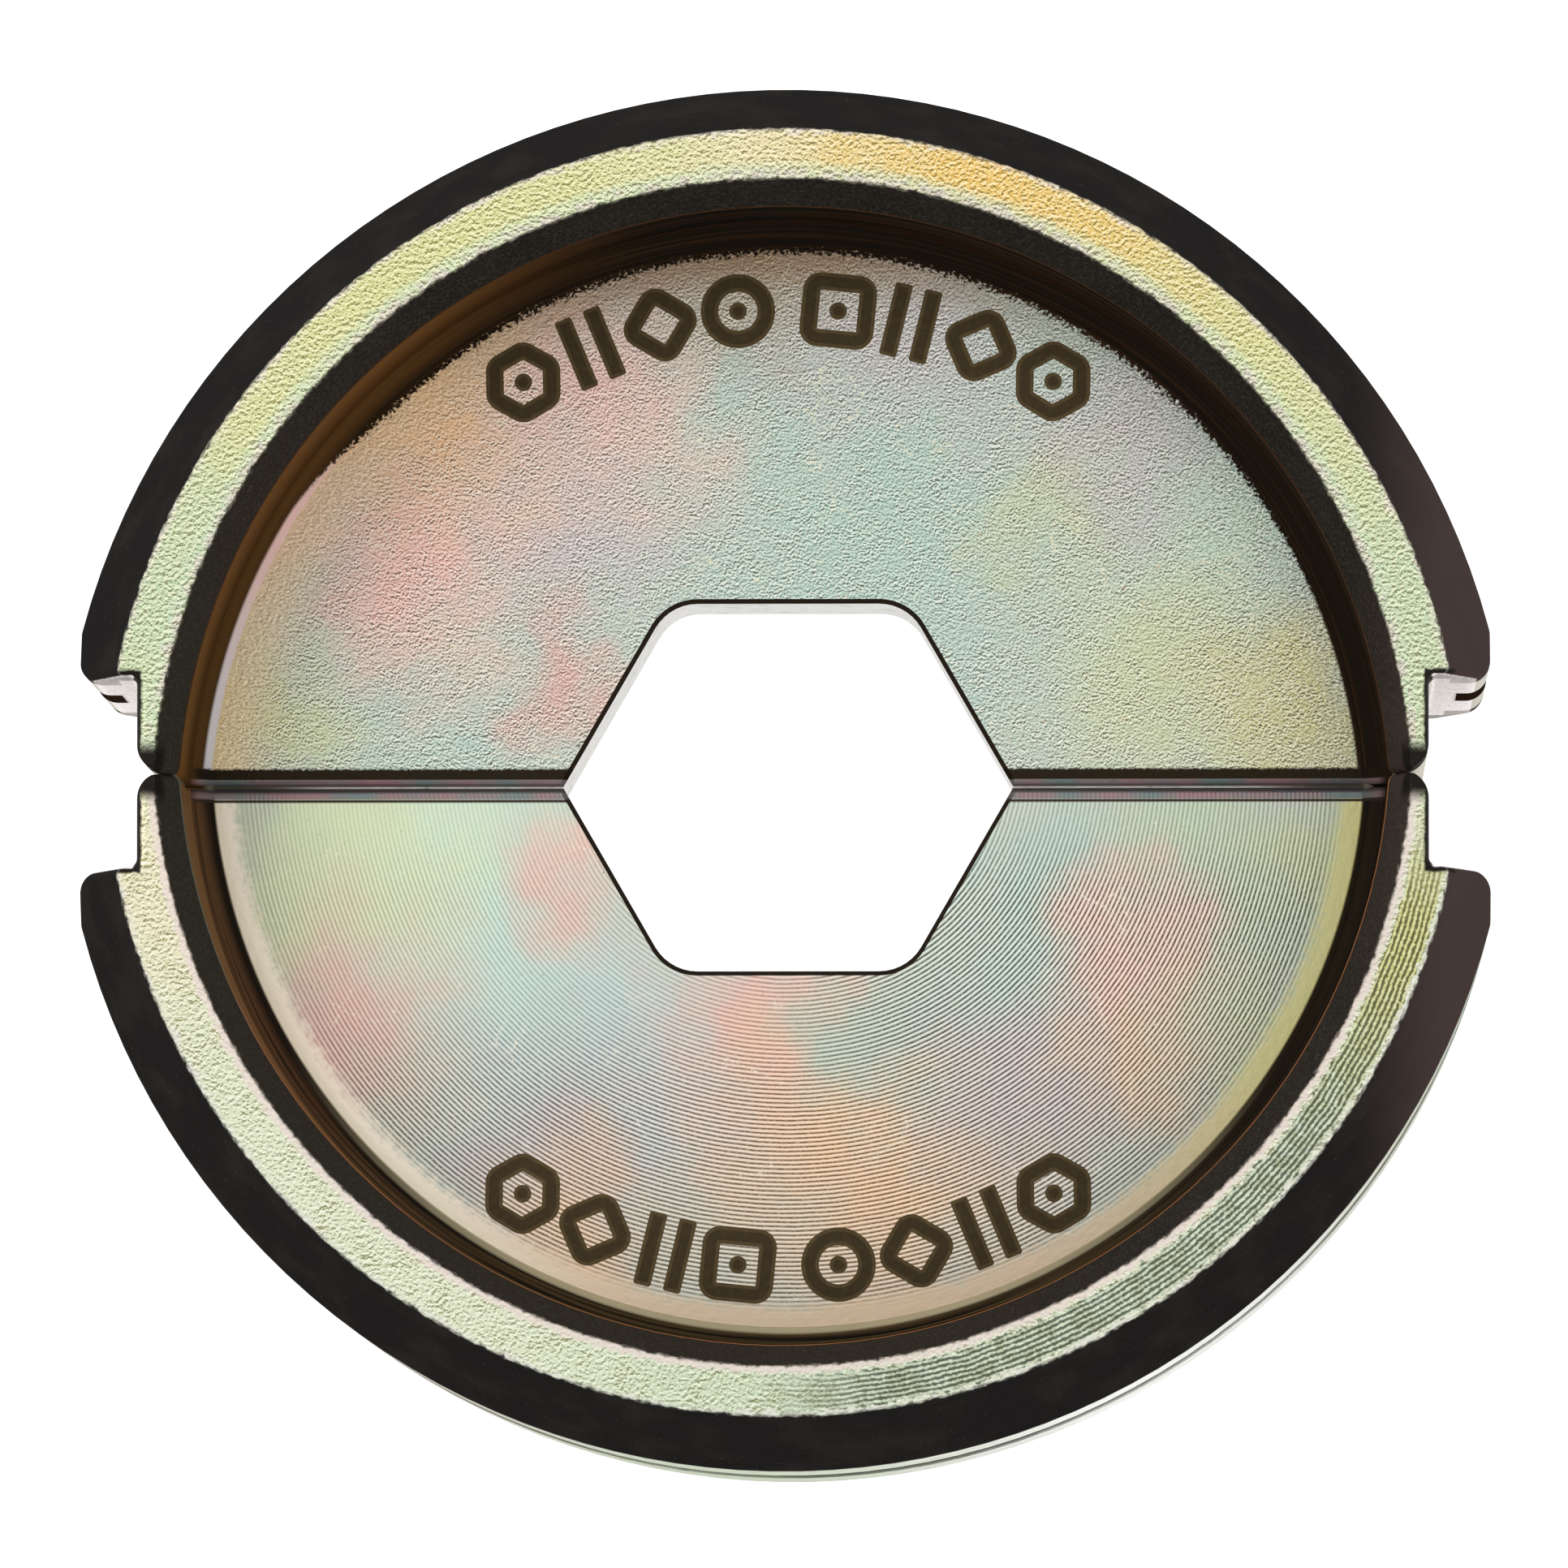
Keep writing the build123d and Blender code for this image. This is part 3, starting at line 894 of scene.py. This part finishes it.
def steel(name, turned):
    """Plated steel of one half, with its own tints and machining marks, and painted light and shade on many
    of its faces.
    """
    material = bpy.data.materials.new(name)
    nodes = Nodes(material)
    place = Place(nodes, turned)
    vector = wandering(nodes, place)
    web_colour, web_relief = web_looks(nodes, place, vector, turned)
    wall = wall_share(nodes, place)
    groove = groove_share(nodes, place)
    taper = taper_share(nodes, place)
    ring = ring_share(nodes, place)
    web = web_share(nodes, place)
    end = end_share(nodes, place)

    # Each layer covers the ones before it
    layers = (
        (wall, wall_colour(nodes, place, turned)),
        (outside_share(nodes, place), outside_colour(nodes, place, vector)),
        (groove, srgb(*RETAINING_GROOVE_SHADE)),
        (taper, taper_colour(nodes, place, turned)),
        (nodes.times(edge_highlight_share(nodes, place), 0.8), edge_highlight_colour(nodes, place, turned)),
        (ring, ring_colour(nodes, place, vector, turned)),
        (web, web_colour),
        (end, srgb(*END_PAINTED_DARK)),
        (end_face_share(nodes, place), end_face_colour(nodes, place)),
    )
    colour = bare_colour(nodes, place)
    for share, layer in layers:
        colour = nodes.mix(share, colour, layer)

    web_relief = nodes.times(web_relief, nodes.rise(place.facing_z, 0.9, 0.98))
    relief = nodes.plus(web_relief, nodes.times(place.fine, GENERAL_RELIEF))
    bump = nodes.put("ShaderNodeBump", {"Strength": 1.0, "Distance": MM, "Height": relief})
    plated = nodes.largest(web, ring)
    # Faces painted dark as shade and dark reflection: tapers, wall, tip ends and groove
    dark = nodes.times(nodes.largest(taper, wall, end, groove), nodes.minus(1.0, plated))
    shader = nodes.put(
        "ShaderNodeBsdfPrincipled",
        {
            "Base Color": colour,
            "Metallic": nodes.blend(dark, PLATED_METALLIC, DARK_METALLIC),
            "Roughness": nodes.blend(dark, PLATED_ROUGHNESS, DARK_ROUGHNESS),
            "Specular IOR Level": 0.0,
            "Normal": bump.outputs[0],
        },
    )
    nodes.put("ShaderNodeOutputMaterial", {"Surface": shader.outputs[0]})
    return material


def dress_halves():
    """Gives each half its own steel."""
    for name, turned in (("upper_die_half", False), ("lower_die_half", True)):
        material = steel(name + "_looks", turned)
        for place in frame["nodes"][name].material_slots:
            place.material = material


def rounded(corners, radius):
    """Points round a convex outline of corner centres, each taken at radius, anticlockwise."""
    steps = ROUND_STEPS // len(corners)
    points = []
    for index, (x, y) in enumerate(corners):
        before = Vector(corners[index]) - Vector(corners[index - 1])
        after = Vector(corners[(index + 1) % len(corners)]) - Vector(corners[index])
        start = math.atan2(-before.x, before.y)
        sweep = math.tau
        if len(corners) > 1:
            sweep = (math.atan2(-after.x, after.y) - start) % math.tau
        for step in range(steps):
            angle = start + sweep * step / (steps - 1 if len(corners) > 1 else steps)
            points.append((x + radius * math.cos(angle), y + radius * math.sin(angle)))
    return points


def regular(sides, radius, turn):
    """Corners of a regular outline round the middle of a glyph."""
    corners = []
    for side in range(sides):
        angle = turn + math.tau * side / sides
        corners.append((radius * math.cos(angle), radius * math.sin(angle)))
    return corners


def hollow(corners, reach):
    """Loops of a closed stroke whose outside is at reach from the corners."""
    insets = (0, STROKE_EDGE, STROKE - STROKE_EDGE, STROKE)
    return [rounded(corners, reach - inset) for inset in insets], False


def solid(corners, reach):
    """Loops of a filled shape whose outside is at reach from the corners."""
    return [rounded(corners, reach), rounded(corners, reach - STROKE_EDGE)], True


def bar(x, half_length):
    """Loops of an upright bar with hardly rounded ends."""
    loops = []
    for inset, round_off in ((0, BAR_ROUNDING), (STROKE_EDGE, BAR_CORE_ROUNDING)):
        half = STROKE / 2 - inset - round_off
        tall = half_length - inset - round_off
        corners = [(x - half, -tall), (x + half, -tall), (x + half, tall), (x - half, tall)]
        loops.append(rounded(corners, round_off))
    return loops, True


def glyphs():
    """Plain signs for a crimp form: each is a list of strokes, with its bearing in degrees."""
    half = GLYPH_HEIGHT / 2
    round_off = STROKE + 0.02
    dot = solid([(0.0, 0.0)], STROKE / 2)
    hexagon = hollow(regular(6, (half - round_off) / math.cos(math.pi / 6), 0.0), round_off)
    ring_sign = hollow([(0.0, 0.0)], half)
    diamond = hollow(regular(4, half - round_off, 0.0), round_off)
    square = hollow(regular(4, (half - round_off) * math.sqrt(2), math.pi / 4), round_off)
    bars = (bar(-0.5, half), bar(0.5, half))
    return (
        (121.0, (hexagon, dot)),
        (112.6, bars),
        (104.4, (diamond,)),
        (95.6, (ring_sign, dot)),
        (84.4, (square, dot)),
        (76.2, bars),
        (68.0, (diamond,)),
        (59.0, (hexagon, dot)),
    )


def web_spot(bearing, turned, u, v):
    """Point of a half's web, in millimetres: u along and v outward from the middle of a sign."""
    outward = Vector((math.cos(math.radians(bearing)), math.sin(math.radians(bearing))))
    along = Vector((outward.y, -outward.x))
    middle = outward * GLYPH_RADIUS - Vector((0.0, ARC_CENTRE_OFFSET))
    return (middle + along * u + outward * v) * (-1.0 if turned else 1.0)


def add_stroke(bearing, turned, loops, filled, vertices, faces, looks):
    """Adds one stroke: up from the web, over its loops, and down again unless it is filled."""
    low = MID_HEIGHT + HALF_WEB - GLYPH_SINK
    high = MID_HEIGHT + HALF_WEB + GLYPH_LIFT
    rows = [(loops[0], low)] + [(loop, high) for loop in loops]
    if not filled:
        rows.append((loops[-1], low))
    starts = []
    for loop, level in rows:
        starts.append(len(vertices))
        for u, v in loop:
            spot = web_spot(bearing, turned, u, v)
            vertices.append((spot.x * MM, spot.y * MM, level * MM))
    count = len(loops[0])
    for row, (first, second) in enumerate(zip(starts, starts[1:])):
        for step in range(count):
            after = (step + 1) % count
            faces.append((first + step, first + after, second + after, second + step))
            looks.append(CORE_LOOK if not filled and row == CORE_ROW else EDGE_LOOK)
    if filled:
        faces.append(tuple(range(starts[-1], starts[-1] + count)))
        looks.append(CORE_LOOK)


def make_marks(name, turned, materials):
    """Plain signs along the web of one half."""
    vertices = []
    faces = []
    looks = []
    for bearing, strokes in glyphs():
        for loops, filled in strokes:
            add_stroke(bearing, turned, loops, filled, vertices, faces, looks)
    mesh = bpy.data.meshes.new(name)
    mesh.from_pydata(vertices, [], faces)
    for material in materials:
        mesh.materials.append(material)
    mesh.polygons.foreach_set("material_index", looks)
    marks = bpy.data.objects.new(name, mesh)
    bpy.context.scene.collection.objects.link(marks)
    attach(marks, "root")


def ink(name, tint, pale):
    """Burnt brown of the marks, hardly glossy, with a faint grain."""
    material = bpy.data.materials.new(name)
    nodes = Nodes(material)
    place = nodes.put("ShaderNodeTexCoord", {}).outputs["Object"]
    grain = nodes.noise(place, INK_GRAIN, 3.0)
    shader = nodes.put(
        "ShaderNodeBsdfPrincipled",
        {
            "Base Color": nodes.mix(nodes.rise(grain, 0.4, 0.75), srgb(*tint), srgb(*pale)),
            "Roughness": nodes.blend(grain, 0.5, 0.7),
            "Specular IOR Level": 0.15,
        },
    )
    nodes.put("ShaderNodeOutputMaterial", {"Surface": shader.outputs[0]})
    return material


def seen_directly(nodes):
    """1 for rays from the camera or a glossy or clear surface, 0 for light on the object."""
    path = nodes.put("ShaderNodeLightPath", {}).outputs
    return nodes.largest(path["Is Camera Ray"], path["Is Glossy Ray"], path["Is Transmission Ray"])


def make_floor():
    """Plain pale floor that shows white with a faint shadow."""
    mesh = bpy.data.meshes.new("floor")
    signs = ((-1, -1), (1, -1), (1, 1), (-1, 1))
    corners = [(x * FLOOR_REACH, y * FLOOR_REACH, 0) for x, y in signs]
    mesh.from_pydata(corners, [], [(0, 1, 2, 3)])
    floor = bpy.data.objects.new("floor", mesh)
    bpy.context.scene.collection.objects.link(floor)
    material = bpy.data.materials.new("floor_white")
    nodes = Nodes(material)
    strength = nodes.times(seen_directly(nodes), FLOOR_GLOW)
    glow = nodes.put("ShaderNodeEmission", {"Color": WHITE, "Strength": strength})
    matt = nodes.put("ShaderNodeBsdfDiffuse", {"Color": FLOOR_GREY})
    both = nodes.put("ShaderNodeAddShader", {0: glow.outputs[0], 1: matt.outputs[0]})
    nodes.put("ShaderNodeOutputMaterial", {"Surface": both.outputs[0]})
    mesh.materials.append(material)


def make_world():
    """Even white surroundings, seen at full strength and lighting the object at less."""
    world = bpy.data.worlds.new("surroundings")
    bpy.context.scene.world = world
    nodes = Nodes(world)
    strength = nodes.blend(seen_directly(nodes), WORLD_LIGHT, 1.0)
    background = nodes.put("ShaderNodeBackground", {"Color": WHITE, "Strength": strength})
    nodes.put("ShaderNodeOutputWorld", {"Surface": background.outputs[0]})


def aimed(location, target, up):
    """Placing matrix of something at location that looks along its -Z at target."""
    forward = (Vector(target) - Vector(location)).normalized()
    right = forward.cross(Vector(up)).normalized()
    above = right.cross(forward)
    turn = Matrix((right, above, -forward)).transposed().to_4x4()
    return Matrix.Translation(location) @ turn


def make_lamp(name, location, width, power):
    """Soft square lamp aimed at the middle of the die."""
    lamp = bpy.data.lights.new(name, "AREA")
    lamp.size = width
    lamp.energy = power
    holder = bpy.data.objects.new(name, lamp)
    holder.matrix_world = aimed(location, DIE_MIDDLE, (0, 1, 0.01))
    bpy.context.scene.collection.objects.link(holder)


def make_camera():
    """Camera straight above the die but for a small lean."""
    lens = bpy.data.cameras.new("camera")
    lens.sensor_width = SENSOR_WIDTH
    lens.lens = FOCAL_LENGTH
    lens.clip_start = NEAREST_SEEN
    lens.clip_end = FARTHEST_SEEN
    camera = bpy.data.objects.new("camera", lens)
    camera.matrix_world = aimed(CAMERA_PLACE, CAMERA_TARGET, (0, 1, 0))
    bpy.context.scene.collection.objects.link(camera)
    bpy.context.scene.camera = camera


bpy.context.scene.view_settings.view_transform = "Standard"
for thing in list(bpy.data.objects):
    bpy.data.objects.remove(thing)
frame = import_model()
bpy.context.view_layer.update()

dress_halves()
inks = (ink("mark_edge", *MARK_EDGE), ink("mark_core", *MARK_CORE))
make_marks("upper_marks", False, inks)
make_marks("lower_marks", True, inks)
make_floor()
make_world()
for lamp_settings in LAMPS:
    make_lamp(*lamp_settings)
make_camera()
